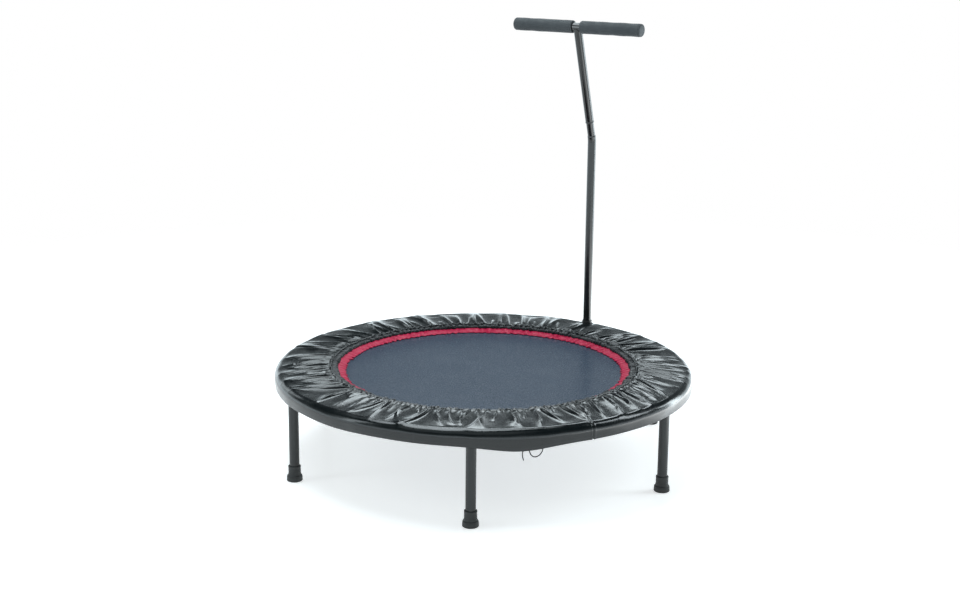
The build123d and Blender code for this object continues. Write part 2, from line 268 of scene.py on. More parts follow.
@dataclass(frozen=True)
class Finish:
    """What every finish has; its subclasses add their own patterns."""

    name: str
    colour: tuple[float, float, float]
    roughness: float

    def start(self) -> tuple[bpy.types.Material, Graph, bpy.types.Node, bpy.types.NodeSocket]:
        """A new material, its graph, its shader and its object coordinates."""
        material = bpy.data.materials.new(self.name)
        g = emptied_graph(material)
        shader = g.add("BsdfPrincipled", {"Base Color": rgba(self.colour), "Roughness": self.roughness})
        g.add("OutputMaterial", {"Surface": shader.outputs[0]})
        return material, g, shader, g.add("TexCoord").outputs["Object"]

    @staticmethod
    def use(
        g: Graph, tree: bpy.types.NodeTree, where: bpy.types.NodeSocket, **inputs: float
    ) -> bpy.types.Node:
        """A shared group placed in a material."""
        return g.add("Group", {"Vector": where, **inputs}, node_tree=tree)

    @staticmethod
    def bump(
        g: Graph, shader: bpy.types.Node, height: bpy.types.NodeSocket, strength: float, distance: float
    ) -> None:
        """Feeds a height into the shader's normal."""
        node = g.add("Bump", {"Height": height, "Strength": strength, "Distance": distance})
        g.feed(shader.inputs["Normal"], node.outputs[0])

    def shade(self, factor: float, added: float = 0.0) -> tuple[float, float, float, float]:
        """The finish's colour made darker or lighter."""
        return rgba(tuple(min(1.0, c * factor + added) for c in self.colour))

    def vary_roughness(
        self, g: Graph, shader: bpy.types.Node, noise: bpy.types.NodeSocket, least: float, most: float
    ) -> None:
        """Lets a noise move the roughness between two multiples of its value."""
        rough = g.ramp(noise, 0.3, 0.7, self.roughness * least, min(1.0, self.roughness * most))
        g.feed(shader.inputs["Roughness"], rough)

    def build(self) -> bpy.types.Material:
        """The finished material."""
        raise NotImplementedError


@dataclass(frozen=True)
class PaintFinish(Finish):
    """Powder coat or gloss paint on steel tube."""

    peel: float = 0.05
    coat: float = 0.0
    dust: float = 0.03

    def build(self) -> bpy.types.Material:
        """Paint with orange peel, worn edges and a little dust."""
        material, g, shader, where = self.start()
        grain = self.use(g, SharedEffects.grain(), where, Scale=900.0)
        wear = self.use(g, SharedEffects.edge_wear(), where)
        dust = self.use(g, SharedEffects.settled_dust(), where, Amount=self.dust)
        worn = g.mix(wear.outputs[0], rgba(self.colour), self.shade(2.4, 0.02))
        g.feed(shader.inputs["Base Color"], g.mix(dust.outputs[0], worn, PAINT_DUST))
        self.vary_roughness(g, shader, grain.outputs["Patches"], 0.85, 1.2)
        g.feed(shader.inputs["Coat Weight"], self.coat)
        g.feed(shader.inputs["Coat Roughness"], 0.08)
        self.bump(g, shader, grain.outputs["Fine"], self.peel, 0.00012)
        return material


@dataclass(frozen=True)
class ZincFinish(Finish):
    """Zinc-plated steel."""

    def build(self) -> bpy.types.Material:
        """Metal with cloudy roughness and a faint grain."""
        material, g, shader, where = self.start()
        g.feed(shader.inputs["Metallic"], 1.0)
        grain = self.use(g, SharedEffects.grain(), where, Scale=1500.0)
        self.vary_roughness(g, shader, grain.outputs["Patches"], 0.7, 1.4)
        tone = g.mix(grain.outputs["Patches"], rgba(self.colour), self.shade(0.72))
        g.feed(shader.inputs["Base Color"], tone)
        self.bump(g, shader, grain.outputs["Fine"], 0.15, 0.0001)
        return material


@dataclass(frozen=True)
class RubberFinish(Finish):
    """Moulded rubber or closed-cell foam, with pores."""

    pores: float = 1400.0
    depth: float = 0.35
    speckle: float = 1.35
    dust: float = 0.15

    def build(self) -> bpy.types.Material:
        """A matte surface with small pores and specks."""
        material, g, shader, where = self.start()
        cells = g.add("TexVoronoi", {"Vector": where, "Scale": self.pores})
        grain = self.use(g, SharedEffects.grain(), where, Scale=self.pores * 0.6)
        dust = self.use(g, SharedEffects.settled_dust(), where, Amount=self.dust)
        tone = g.mix(grain.outputs["Fine"], self.shade(0.75), self.shade(self.speckle))
        g.feed(shader.inputs["Base Color"], g.mix(dust.outputs[0], tone, RUBBER_DUST))
        self.vary_roughness(g, shader, grain.outputs["Patches"], 0.92, 1.08)
        deep = g.math("MULTIPLY", cells.outputs["Distance"], 0.7)
        height = g.math("ADD", deep, g.math("MULTIPLY", grain.outputs["Fine"], 0.5))
        self.bump(g, shader, height, self.depth, 0.0003)
        return material


@dataclass(frozen=True)
class VinylFinish(Finish):
    """Glossy coated cloth."""

    def build(self) -> bpy.types.Material:
        """A shiny skin over fine cloth, with small creases and hazy patches."""
        material, g, shader, where = self.start()
        grain = self.use(g, SharedEffects.grain(), where, Scale=700.0)
        weave = self.use(g, SharedEffects.weave(), where, Threads=4200.0)
        noise = {"Vector": where, "Scale": 60.0, "Detail": 2.0, "Roughness": 0.5, "Distortion": 0.6}
        creases = g.add("TexNoise", noise)
        dust = self.use(g, SharedEffects.settled_dust(), where, Amount=0.006)
        g.feed(shader.inputs["Base Color"], g.mix(dust.outputs[0], rgba(self.colour), VINYL_DUST))
        self.vary_roughness(g, shader, grain.outputs["Patches"], 0.8, 1.25)
        threads = g.math("MULTIPLY", weave.outputs["Height"], 0.03)
        self.bump(g, shader, g.math("ADD", creases.outputs["Fac"], threads), 0.12, 0.0012)
        return material


@dataclass(frozen=True)
class ClothFinish(Finish):
    """Woven cloth, webbing, satin or elastic."""

    threads: float = 3000.0
    relief: float = 0.4
    contrast: float = 0.7
    gloss: float = 0.5
    fold_depth: float = 0.0
    dust: float = 0.03

    def build(self) -> bpy.types.Material:
        """Crossing threads with an uneven tone, a little lint and, where asked for, small folds."""
        material, g, shader, where = self.start()
        weave = self.use(g, SharedEffects.weave(), where, Threads=self.threads)
        grain = self.use(g, SharedEffects.grain(), where, Scale=500.0)
        dust = self.use(g, SharedEffects.settled_dust(), where, Amount=self.dust)
        dark = self.shade(self.contrast)
        threads = g.mix(weave.outputs["Over"], dark, rgba(self.colour))
        uneven = g.mix(g.ramp(grain.outputs["Patches"], 0.35, 0.65, 0.0, 0.35), threads, dark)
        g.feed(shader.inputs["Base Color"], g.mix(dust.outputs[0], uneven, CLOTH_LINT))
        self.vary_roughness(g, shader, grain.outputs["Fine"], 0.85, 1.15)
        g.feed(shader.inputs["Specular IOR Level"], self.gloss)
        height = weave.outputs["Height"]
        if self.fold_depth:
            folds = g.add("TexNoise", {"Vector": where, "Scale": 140.0, "Detail": 4.0})
            height = g.math("ADD", g.math("MULTIPLY", folds.outputs["Fac"], self.fold_depth), height)
        self.bump(g, shader, height, self.relief, 0.0004)
        return material


class Finishes:
    """Every finish, built once."""

    def __init__(self) -> None:
        """Builds one material for each slot."""
        made = {
            Slot.FRAME_PAINT: PaintFinish("frame_powder_coat", (0.012, 0.012, 0.013), 0.36, peel=0.12),
            Slot.LEG_PAINT: PaintFinish(
                "leg_powder_coat", (0.003, 0.005, 0.0055), 0.22, peel=0.04, dust=0.01
            ),
            Slot.HANDLE_PAINT: PaintFinish(
                "handle_gloss_paint", (0.004, 0.0045, 0.0045), 0.14, peel=0.02, coat=0.05, dust=0.005
            ),
            Slot.ZINC: ZincFinish("zinc_plate", (0.62, 0.63, 0.65), 0.34),
            Slot.MAT: ClothFinish(
                "mat_weave", (0.022, 0.039, 0.067), 0.25, threads=2100.0, relief=0.06,
                contrast=0.84, gloss=0.27,
            ),
            Slot.WEBBING: ClothFinish("webbing_weave", (0.02, 0.02, 0.022), 0.72, threads=1500.0, relief=0.5),
            Slot.FOAM: RubberFinish(
                "pad_foam_cells", (0.55, 0.55, 0.53), 0.9, pores=900.0, depth=0.4, speckle=1.1, dust=0.0
            ),
            Slot.VINYL: VinylFinish("cover_vinyl_satin", (0.0024, 0.0044, 0.0052), 0.2),
            Slot.CASING: ClothFinish(
                "casing_cloth", (0.004, 0.005, 0.007), 0.3, threads=4200.0, relief=0.25,
                gloss=0.32, fold_depth=1.0,
            ),
            Slot.TRIM: ClothFinish(
                "trim_satin_weave", (0.40, 0.006, 0.046), 0.42, threads=5200.0, relief=0.25,
                contrast=0.82, gloss=0.15, fold_depth=1.2,
            ),
            Slot.CORD: ClothFinish("cord_braid", (0.016, 0.016, 0.017), 0.66, threads=2600.0, relief=0.8),
            Slot.RUBBER: RubberFinish(
                "foot_rubber_moulded", (0.017, 0.019, 0.019), 0.6, pores=1800.0, depth=0.15, dust=0.1
            ),
            Slot.GRIP: RubberFinish(
                "grip_foam_cells", (0.020, 0.024, 0.027), 0.75, pores=1700.0, depth=0.4,
                speckle=1.5, dust=0.02,
            ),
        }
        self.materials = {slot: finish.build() for slot, finish in made.items()}
        LOG.info("finishes: %d materials, %d shared effects", len(self.materials), len(SharedEffects.made))

    def dress(self, piece: bpy.types.Object, slot: Slot) -> bpy.types.Object:
        """Gives a piece its only material and its slot."""
        piece.data.materials.clear()
        piece.data.materials.append(self.materials[slot])
        return piece


# ---- meshes ----
def grid_quads(rows: int, columns: int, close_rows: bool = False) -> np.ndarray:
    """The faces of a grid of points whose last column joins the first.

    Args:
        rows: How many rows of points.
        columns: How many points in a row.
        close_rows: Whether the last row joins the first too.

    Returns:
        An array of four point numbers for each face.
    """
    i = np.arange(rows if close_rows else rows - 1)[:, None]
    j = np.arange(columns)[None, :]
    a, b = i * columns, ((i + 1) % rows) * columns
    k = (j + 1) % columns
    return np.stack([a + j, a + k, b + k, b + j], axis=-1).reshape(-1, 4)


def scene_object(name: str, data: bpy.types.ID) -> bpy.types.Object:
    """A new object in the scene."""
    holder = bpy.data.objects.new(name, data)
    bpy.context.scene.collection.objects.link(holder)
    return holder


def mesh_piece(name: str, points: np.ndarray, quads: np.ndarray) -> bpy.types.Object:
    """A smooth mesh object from points and four-sided faces."""
    mesh = bpy.data.meshes.new(name)
    mesh.vertices.add(len(points))
    mesh.vertices.foreach_set("co", np.asarray(points, np.float32).ravel())
    mesh.loops.add(quads.size)
    mesh.loops.foreach_set("vertex_index", quads.astype(np.int32).ravel())
    mesh.polygons.add(len(quads))
    mesh.polygons.foreach_set("loop_start", np.arange(0, quads.size, 4, dtype=np.int32))
    mesh.polygons.foreach_set("use_smooth", np.ones(len(quads), bool))
    mesh.update(calc_edges=True)
    mesh.validate()
    return scene_object(name, mesh)


def tidy_mesh(piece: bpy.types.Object) -> None:
    """Merges doubled points and turns faces outwards."""
    work = bmesh.new()
    work.from_mesh(piece.data)
    bmesh.ops.remove_doubles(work, verts=work.verts, dist=MERGE_GAP)
    bmesh.ops.recalc_face_normals(work, faces=work.faces)
    work.to_mesh(piece.data)
    work.free()


def polar(radius: np.ndarray, angle: np.ndarray, height: np.ndarray) -> np.ndarray:
    """Points from cylinder coordinates."""
    level = height + 0 * radius
    return np.stack([radius * np.cos(angle), radius * np.sin(angle), level], axis=-1).reshape(-1, 3)


def ring_angles(rows: int, columns: int) -> np.ndarray:
    """Angles round the Z axis, the same in every row."""
    return np.linspace(0, 2 * np.pi, columns, endpoint=False)[None, :] + np.zeros((rows, 1))


def spring_angle(number: int) -> float:
    """The angle of a spring and its tab, in radians."""
    return math.radians(FIRST_SPRING + SPRING_STEP * number)


def turned(points: np.ndarray, angle: float) -> np.ndarray:
    """Points turned about the Z axis and lifted to the springs' level."""
    x, y, z = points.T
    c, s = math.cos(angle), math.sin(angle)
    return np.column_stack([x * c - y * s, x * s + y * c, z + SPRING_Z])


def lathe(name: str, outline: list[tuple[float, float]], steps: int, wobble: float = 0.0) -> bpy.types.Object:
    """A closed shape turned about the Z axis.

    Args:
        name: The piece's name.
        outline: (radius, height) points, in metres.
        steps: Points round the axis.
        wobble: Depth of a slight unevenness, in metres.

    Returns:
        The mesh object, at the origin.
    """
    rows = np.array(outline)
    angles = ring_angles(len(rows), steps)
    uneven = wobble * (np.sin(3 * angles + 0.7) + 0.6 * np.sin(7 * angles + 2.1))
    radius = np.where(rows[:, :1] > 1e-5, rows[:, :1] + uneven, 0.0)
    piece = mesh_piece(name, polar(radius, angles, rows[:, 1:]), grid_quads(len(rows), steps))
    tidy_mesh(piece)
    return piece


def rounded(outline: list[tuple[float, float]], radius: float, steps: int = 4) -> list[tuple[float, float]]:
    """An outline with its inner corners rounded off.

    Args:
        outline: (radius, height) points.
        radius: How far back from each corner the rounding starts.
        steps: Points in each rounding.

    Returns:
        The longer outline.
    """
    points = [np.array(p, float) for p in outline]
    out = [tuple(points[0])]
    for before, corner, after in zip(points, points[1:], points[2:]):
        back = min(radius, 0.45 * np.linalg.norm(before - corner))
        on = min(radius, 0.45 * np.linalg.norm(after - corner))
        a = corner + (before - corner) / np.linalg.norm(before - corner) * back
        b = corner + (after - corner) / np.linalg.norm(after - corner) * on
        for t in np.linspace(0, 1, steps):
            out.append(tuple((1 - t) ** 2 * a + 2 * t * (1 - t) * corner + t**2 * b))
    out.append(tuple(points[-1]))
    return out


def sweep_points(path: np.ndarray, radius: float, sides: int) -> tuple[np.ndarray, np.ndarray]:
    """A round wire along a path.

    Args:
        path: Points along its middle.
        radius: The wire's radius.
        sides: Points round it.

    Returns:
        Its points and faces, with its ends drawn together.
    """
    tangents = np.gradient(path, axis=0)
    tangents /= np.linalg.norm(tangents, axis=1)[:, None]
    normal = np.cross(tangents[0], [0.3, 0.5, 0.81])
    normals = []
    for tangent in tangents:
        normal = normal - tangent * (normal @ tangent)
        normal /= np.linalg.norm(normal)
        normals.append(normal)
    normals = np.array(normals)
    sideways = np.cross(tangents, normals)
    turn = np.linspace(0, 2 * np.pi, sides, endpoint=False)
    sizes = np.full(len(path), radius)
    sizes[[0, -1]] = radius * 0.3
    ring = normals[:, None] * np.cos(turn)[None, :, None] + sideways[:, None] * np.sin(turn)[None, :, None]
    return (path[:, None] + ring * sizes[:, None, None]).reshape(-1, 3), grid_quads(len(path), sides)


def soft_noise(
    angle: np.ndarray, along: np.ndarray, seed: int, low: int, high: int, count: int = 14
) -> np.ndarray:
    """A smooth random field round a ring, from -1 to 1.

    Args:
        angle: Angles about the ring's axis.
        along: A second coordinate, in turns of its own wave.
        seed: Which random field.
        low: Fewest waves round the ring.
        high: Most waves round the ring.
        count: How many waves are added.

    Returns:
        The field at each point.
    """
    pick = np.random.default_rng(seed)
    total = np.zeros(np.broadcast(angle, along).shape)
    for _ in range(count):
        waves, phase = pick.integers(low, high + 1), pick.uniform(0, 2 * np.pi)
        total += np.sin(waves * angle + phase + 2 * np.pi * pick.uniform(-1, 1) * along)
    return total / math.sqrt(count) / 1.6


class Puffs:
    """The small gathers that an elastic draws into cloth, spaced unevenly round a ring."""

    def __init__(self, count: int, seed: int) -> None:
        """Places the gathers' edges and picks how full each is."""
        pick = np.random.default_rng(seed)
        widths = pick.uniform(0.55, 1.45, count)
        self.edges = np.concatenate([[0.0], np.cumsum(widths / widths.sum())]) * 2 * np.pi
        self.fullness = pick.uniform(0.45, 1.25, count)
        self.lean = pick.uniform(-1, 1, count)

    def at(self, angle: np.ndarray) -> tuple[np.ndarray, np.ndarray]:
        """How high the cloth stands at each angle, 0 in a crease, and the lean of that gather."""
        wrapped = np.mod(angle, 2 * np.pi)
        index = np.clip(np.searchsorted(self.edges, wrapped, side="right") - 1, 0, len(self.fullness) - 1)
        share = (wrapped - self.edges[index]) / (self.edges[index + 1] - self.edges[index])
        return np.sin(np.pi * share) ** 0.6 * self.fullness[index], self.lean[index]


GATHERS = Puffs(210, seed=11)
HOLE_ABOVE_Z = 0.212
HOLE_CUT_R = 0.0035


def open_post_hole(points: np.ndarray, quads: np.ndarray, reach: float) -> tuple[np.ndarray, np.ndarray]:
    """Opens a round hole for the handle's post by drawing the mesh aside.

    Args:
        points: The mesh's points.
        quads: Its faces.
        reach: How far from the post the mesh is drawn.

    Returns:
        The moved points and the faces that are left.
    """
    away = points[:, :2] - np.array(POST_AT)
    distance = np.linalg.norm(away, axis=1)
    near = (distance < reach) & (points[:, 2] > HOLE_ABOVE_Z)
    inner = near & (distance < HOLE_CUT_R)
    moved = POST_HOLE_R + distance * (reach - POST_HOLE_R) / reach
    out = points.copy()
    scale = np.where(near, moved / np.maximum(distance, 1e-6), 1.0)
    out[:, :2] = np.array(POST_AT) + away * scale[:, None]
    return out, quads[~inner[quads].any(axis=1)]


# ---- pad ----
@dataclass
class PadCover:
    """The gathered cover over the foam, from the casing to its hem."""

    inner_r: float = 0.3805
    top_z: float = 0.2258
    shoulder_r: float = 0.4985
    shoulder_z: float = 0.2075
    roll: float = 0.0185
    hem_z: float = 0.1885
    columns: int = 2160
    seed: int = 5
    gather_high: float = 0.0026
    gather_reach: float = 0.012
    sag_at: float = 314.0
    sag_width: float = 9.5
    sag_depth: float = 0.0112
    seam_at: float = 332.5
    nicks_at: tuple[float, float] = (287.0, 304.3)
    hole_reach: float = 0.024
    slants: tuple[tuple[float, float], ...] = (
        (0, -28), (15, -30), (35, -20), (60, -10), (90, 5), (120, 8), (150, 0), (200, 5), (225, 10),
        (245, -4), (265, 15), (285, 5), (300, -2), (315, -4), (330, -8), (345, -22), (360, -28),
    )

    def profile(self) -> np.ndarray:
        """Rows of (radius, height, outward radius, outward height) from the casing to inside the hem."""
        rows = [
            (0.3758, 0.2244, 0.6, 0.8), (0.3764, 0.2262, 0.3, 0.95), (0.3775, 0.2274, 0.1, 1.0),
            (0.3792, 0.2276, 0.0, 1.0), (0.3808, 0.2270, 0.0, 1.0),
        ]
        for r in np.concatenate([np.linspace(0.3825, 0.402, 12), np.linspace(0.4050, self.shoulder_r, 34)]):
            rows.append((r, self.top_z, 0.0, 1.0))
        for turn in np.linspace(0, np.pi / 2, 15)[1:]:
            out, up = math.sin(turn), math.cos(turn)
            rows.append((self.shoulder_r + self.roll * out, self.shoulder_z + self.roll * up, out, up))
        side_r = self.shoulder_r + self.roll
        for z in np.linspace(self.shoulder_z - 0.003, self.hem_z + 0.0062, 5):
            rows.append((side_r - 0.0010 * (1 - (z - self.hem_z) / 0.018), z, 1.0, -0.05))
        for inwards, above, out, up in (
            (0.0010, 0.0045, 1.0, 0.0), (0.0010, 0.0026, 1.0, 0.0), (0.0014, 0.0008, 0.8, -0.6),
            (0.0024, 0.0, 0.0, -1.0), (0.0034, 0.0008, -0.8, -0.6), (0.0037, 0.003, -1.0, 0.0),
            (0.0035, 0.0062, -1.0, 0.0),
        ):
            rows.append((side_r - inwards, self.hem_z + above, out, up))
        return np.array(rows)

    def long_folds(self, radius: np.ndarray, angle: np.ndarray) -> np.ndarray:
        """Height of the folds that run out from the casing."""
        pick = np.random.default_rng(self.seed)
        knots = np.array(self.slants, float)
        out = np.clip((radius - self.inner_r) / (self.shoulder_r - self.inner_r), 0, 1.3)
        spread = np.log(np.maximum(radius, self.inner_r) / self.inner_r)
        total = np.zeros(angle.shape)
        place, number = 0.0, 0
        while place < 360:
            long_one = number % 3 != 2
            reach = pick.uniform(0.85, 1.2) if long_one else pick.uniform(0.3, 0.65)
            high = pick.uniform(0.0048, 0.0084) if long_one else pick.uniform(0.0026, 0.0048)
            wide = pick.uniform(0.0040, 0.0072) if long_one else pick.uniform(0.0028, 0.0045)
            slant = math.radians(np.interp(place, knots[:, 0], knots[:, 1]) + pick.normal(0, 6))
            middle = math.radians(place) + math.tan(slant) * spread + pick.normal(0, 0.03) * out**2
            across = np.mod(angle - middle + np.pi, 2 * np.pi) - np.pi
            uneven = pick.choice([0.55, 0.7, 1.5, 1.9])
            near = across * radius / (wide * (0.6 + 1.5 * out))
            near = np.abs(np.where(near > 0, near * uneven, near / uneven))
            fade = np.clip(1 - (out / reach) ** 2.4, 0, 1)
            total += high * np.exp(-(near**1.35)) * fade * (0.35 + 0.65 * np.clip(out * 5, 0, 1))
            place += pick.uniform(2.0, 3.9)
            number += 1
        return total

    def stitches(self, radius: np.ndarray, degrees: np.ndarray, side: np.ndarray) -> np.ndarray:
        """Height of the seam, which slants across the top, and of the nicks on the side.

        Args:
            radius: Each point's radius.
            degrees: Each point's angle, in degrees.
            side: How far each row belongs to the side, from 0 to 1.

        Returns:
            The height at each point, in metres.
        """
        slant = np.where(radius < 0.503, (0.503 - radius) * 38, 0.0)
        seam = np.abs(degrees - self.seam_at - slant) * np.pi / 180 * radius
        total = 0.0008 * np.exp(-(((seam - 0.004) / 0.002) ** 2)) - 0.0022 * np.exp(-((seam / 0.0014) ** 2))
        for nick in self.nicks_at:
            apart = np.abs(degrees - nick) * np.pi / 180 * radius
            total = total - 0.0009 * np.exp(-((apart / 0.0012) ** 2)) * side
        return total

    def build(self) -> bpy.types.Object:
        """The cover's mesh, with gathers, a rolled shoulder, a sag at the tie and a hem."""
        rows = self.profile()
        angle = ring_angles(len(rows), self.columns)
        degrees = np.degrees(angle)
        radius, height = (rows[:, k : k + 1] + 0 * angle for k in (0, 1))
        out, up = rows[:, 2:3], rows[:, 3:4]
        top = np.clip(up, 0, 1) ** 1.5
        outside = out > 0
        lift = self.long_folds(radius, angle) * top
        puff, _ = GATHERS.at(angle + 0.004)
        close = np.exp(-np.clip(radius - self.inner_r, 0, 1) / self.gather_reach)
        lift = lift + self.gather_high * puff * close * top
        lift = lift + 0.0008 * (1 + soft_noise(angle, radius * 4, 3, 7, 22)) * top
        crease = (radius > 0.47) * top * (1 - top * 0.2)
        lift = lift + crease * 0.0005 * soft_noise(angle, radius * 10, 6, 20, 60)
        side = np.clip((0.2115 - height) / 0.02, 0, 1) * outside
        lift = lift + side * 0.0005 * soft_noise(angle, height * 20, 8, 14, 60)
        hem = np.clip((0.1945 - height) / 0.006, 0, 1) * outside
        lift = lift + hem * 0.0004 * soft_noise(angle, 0 * angle, 21, 60, 180)
        lift = lift + self.stitches(radius, degrees, (1 - top) * outside)
        radius = radius + out * lift
        height = height + up * lift
        sag = np.exp(-(((degrees - self.sag_at) / self.sag_width) ** 2))
        low = np.clip((0.224 - height) / 0.036, 0, 1) ** 1.2
        height = height - self.sag_depth * sag * low
        height = height + low * 0.0007 * soft_noise(angle, 0 * angle, 4, 5, 16)
        skin = polar(radius, angle, height)
        points, quads = open_post_hole(skin, grid_quads(*angle.shape), self.hole_reach)
        piece = mesh_piece("pad_cover_gathered", points, quads)
        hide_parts("pad_cover", "hem_elastic")
        return piece


@dataclass
class Casing:
    """The ruched tunnel round the pad's inner edge."""

    middle_r: float = 0.3708
    middle_z: float = 0.2216
    half_width: float = 0.0086
    half_height: float = 0.0062
    puff_high: float = 0.0042
    columns: int = 2400
    rows: int = 22

    @staticmethod
    def squarish(wave: np.ndarray) -> np.ndarray:
        """A wave whose flanks are filled out, so that the tube's section is fuller than an ellipse."""
        return np.sign(wave) * np.abs(wave) ** 0.6

    def build(self) -> bpy.types.Object:
        """A tube with puffs and sharp creases between them."""
        turn = np.linspace(0, 2 * np.pi, self.rows, endpoint=False)[:, None]
        angle = ring_angles(self.rows, self.columns)
        _, lean = GATHERS.at(angle)
        puff, _ = GATHERS.at(angle + lean * 0.004 * np.sin(turn))
        fine = np.abs(soft_noise(angle, turn / 6, 15, 300, 620, 18))
        broad = soft_noise(angle, turn / 9, 16, 20, 90)
        swell = self.puff_high * (puff - 0.70) + 0.0012 * (fine - 0.4) + 0.0008 * broad
        radius = self.middle_r + (self.half_width + swell) * self.squarish(np.cos(turn))
        height = self.middle_z + (self.half_height + swell) * self.squarish(np.sin(turn))
        quads = grid_quads(self.rows, self.columns, close_rows=True)
        piece = mesh_piece("casing_ruched", polar(radius, angle, height), quads)
        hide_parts("inner_casing", "casing_elastic")
        return piece


@dataclass
class EdgeTrim:
    """The red band that hangs from the casing onto the mat's edge."""

    inner_r: float = 0.343
    outer_r: float = 0.3655
    outer_z: float = 0.2204
    inner_z: float = 0.2129
    thick: float = 0.0006
    flute_high: float = 0.0019
    columns: int = 1440
    rows: int = 13

    def build(self) -> bpy.types.Object:
        """A band with a wavy free edge and soft flutes."""
        share = np.linspace(0, 1, self.rows)[:, None]
        angle = ring_angles(self.rows, self.columns)
        edge = 0.0042 * soft_noise(angle, 0 * angle, 31, 70, 150)
        edge = edge + 0.0016 * soft_noise(angle, 0 * angle, 32, 6, 20)
        inner = self.inner_r + edge
        radius = self.outer_r + (inner - self.outer_r) * share
        flute = self.flute_high * (1 + soft_noise(angle, share * 0.15, 33, 70, 160)) * (0.35 + share)
        gather = 0.0012 * GATHERS.at(angle)[0] * (1 - share) ** 2
        slope = (self.inner_z - self.outer_z) * share**0.75
        bulge = flute * np.sin(np.pi * np.clip(share * 0.8 + 0.15, 0, 1))
        height = self.outer_z + slope + bulge + gather
        piece = mesh_piece("edge_trim_band", polar(radius, angle, height), grid_quads(*angle.shape))
        thick = piece.modifiers.new("thickness", "SOLIDIFY")
        thick.thickness, thick.offset = self.thick, 0.0
        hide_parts("edge_trim")
        return piece


@dataclass
class FoamPad:
    """The foam ring under the cover."""

    inner_r: float = 0.3812
    low: float = 0.2184
    high: float = 0.2246
    hole_reach: float = 0.026
    columns: int = 540

    def build(self) -> bpy.types.Object:
        """A flat ring with rounded, slightly uneven edges and a hole for the post."""
        outline = [(self.inner_r + 0.05, self.low), (self.inner_r, self.low), (self.inner_r, self.high)]
        outline += [(r, self.high) for r in np.linspace(0.395, 0.498, 40)]
        outline += [(0.5043, 0.2234), (0.5085, 0.2209), (0.5108, 0.2187), (0.5090, self.low)]
        outline += [(r, self.low) for r in np.linspace(0.5055, self.inner_r + 0.05, 30)]
        rows = np.array(rounded(outline, 0.0014, 3))
        angle = ring_angles(len(rows), self.columns)
        lumps = 0.0003 * (soft_noise(angle, rows[:, :1] * 9, 41, 12, 60) - 1) * (rows[:, 1:] > 0.2215)
        ring = polar(rows[:, :1] + 0 * angle, angle, rows[:, 1:] + lumps)
        points, quads = open_post_hole(ring, grid_quads(*angle.shape, close_rows=True), self.hole_reach)
        piece = mesh_piece("foam_pad_ring", points, quads)
        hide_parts("foam_pad")
        return piece


@dataclass
class HemCord:
    """The drawcord's loop and free tail below the hem."""

    radius: float = 0.5128
    at: float = 317.3
    diameter: float = 0.0025
    length: float = 0.0982
    route: tuple[tuple[float, float], ...] = (
        (17.0, 192.0), (17.3, 182.0), (14.5, 172.5), (7.0, 164.0), (-3.5, 162.0), (-11.2, 168.3),
        (-14.2, 178.0), (-19.3, 181.2), (-25.2, 180.4), (-29.3, 176.0), (-29.8, 169.0), (-28.6, 162.5),
        (-26.5, 156.0),
    )

    def points(self) -> list[Vector]:
        """The route's control points."""
        found = []
        for sideways, height in self.route:
            angle = math.radians(self.at) + sideways / 1000 / self.radius
            x, y = self.radius * math.cos(angle), self.radius * math.sin(angle)
            found.append(Vector((x, y, height / 1000)))
        return found

    def build(self) -> bpy.types.Object:
        """A smooth round cord on the route."""
        route = self.points()
        curve = bpy.data.curves.new("hem_cord_curve", "CURVE")
        curve.dimensions = "3D"
        curve.bevel_depth = self.diameter / 2
        curve.bevel_resolution = 4
        curve.use_fill_caps = True
        curve.resolution_u = 10
        spline = curve.splines.new("NURBS")
        spline.points.add(len(route) - 1)
        for point, place in zip(spline.points, route):
            point.co = (*place, 1.0)
        spline.order_u = 3
        spline.use_endpoint_u = True
        piece = scene_object("hem_cord_tie", curve)
        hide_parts("hem_cord")
        return piece


